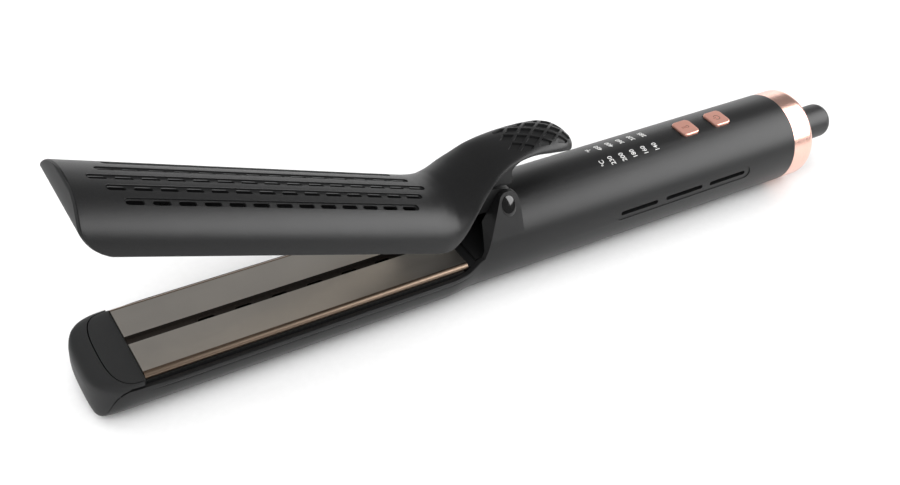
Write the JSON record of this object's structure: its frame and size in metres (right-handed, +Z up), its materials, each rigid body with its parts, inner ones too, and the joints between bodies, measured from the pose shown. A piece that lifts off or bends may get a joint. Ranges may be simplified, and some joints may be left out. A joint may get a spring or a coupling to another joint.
{
  "type": "hair straightener",
  "caption": "Hair straightener with vented arms opening on a side-lugged hinge, a thumb lever, a round handle with two buttons and a swivelling cord outlet.",
  "frame": {"origin": "centre of the whole object's box in X and Y at rest, on the surface it lies on", "axes": "+X along the handle towards the cord outlet, +Y across the plates, +Z up from the surface"},
  "size_m": [0.34, 0.0398, 0.0919],
  "materials": {
    "shell": "fine-grained soft-touch",
    "tip": "satin moulded",
    "carrier": "plain heat-resistant moulding",
    "plate": "titanium-grey coating, bronze at the rolled edges",
    "rose_gold": "metallised, polished",
    "button": "metallised satin",
    "black_gloss": "polished",
    "swivel": "satin",
    "steel": "plain",
    "bush": "moulded acetal",
    "ceramic": "fired ceramic",
    "silicone": "moulded",
    "board": "solder mask",
    "switch": "moulded",
    "light_guide": "clear"
  },
  "bodies": {
    "handle": {"end_cap": "carrier", "end_ring": "rose_gold", "fan_motor": "steel", "fan_shroud": "carrier", "front_bulkhead": "carrier", "handle_housing": "shell", "heater_leads": "silicone", "hinge_caps": "black_gloss", "hinge_pin": "steel", "hinge_spring": "steel", "indicator_leds": "switch", "indicator_light_guide": "light_guide", "inner_chassis": "carrier", "lower_arm_shell": "shell", "lower_heater_elements": "ceramic", "lower_heater_plate": "plate", "lower_insulator_pads": "silicone", "lower_plate_carrier": "carrier", "lower_rear_insert": "carrier", "lower_screws": "steel", "lower_thermistor": "silicone", "lower_tip_cap": "tip", "lower_tip_insert": "tip", "main_pcb": "board", "tact_switches": "switch"},
    "upper_arm": {"upper_arm_shell": "shell", "upper_tip_cap": "tip", "upper_heater_plate": "plate", "upper_plate_carrier": "carrier", "upper_heater_elements": "ceramic", "upper_insulator_pads": "silicone", "upper_thermistor": "silicone", "upper_screws": "steel", "upper_heater_leads": "silicone", "hinge_knuckle": "carrier", "hinge_bushes": "bush"},
    "power_button": {"power_button": "button"},
    "temperature_button": {"temperature_button": "button"},
    "cord_swivel": {"cord_swivel": "swivel", "swivel_clip": "steel"},
    "fan_rotor": {"fan_impeller": "carrier", "fan_shaft": "steel"}
  },
  "joints": [
    {"name": "clamp_hinge", "type": "hinge", "parent": "handle", "child": "upper_arm", "pos_m": [-0.01135, 0, 0.0378], "axis": [0, 1, 0], "range_deg": [-19.8, 12], "stiffness_Nm_per_rad": 0.9, "springref_deg": 3.12},
    {"name": "power_press", "type": "slide", "parent": "handle", "child": "power_button", "axis": [0, 0, -1], "range_m": [0, 0.0007], "stiffness_N_per_m": 1200, "springref_m": -0.0003},
    {"name": "temperature_press", "type": "slide", "parent": "handle", "child": "temperature_button", "axis": [0, 0, -1], "range_m": [0, 0.0007], "stiffness_N_per_m": 1200, "springref_m": -0.0003},
    {"name": "cord_swivel_turn", "type": "hinge", "parent": "handle", "child": "cord_swivel", "pos_m": [0.15565, 0, 0.019], "axis": [1, 0, 0], "continuous": true},
    {"name": "fan_spin", "type": "hinge", "parent": "handle", "child": "fan_rotor", "pos_m": [0.00865, 0, 0.019], "axis": [1, 0, 0], "continuous": true}
  ]
}
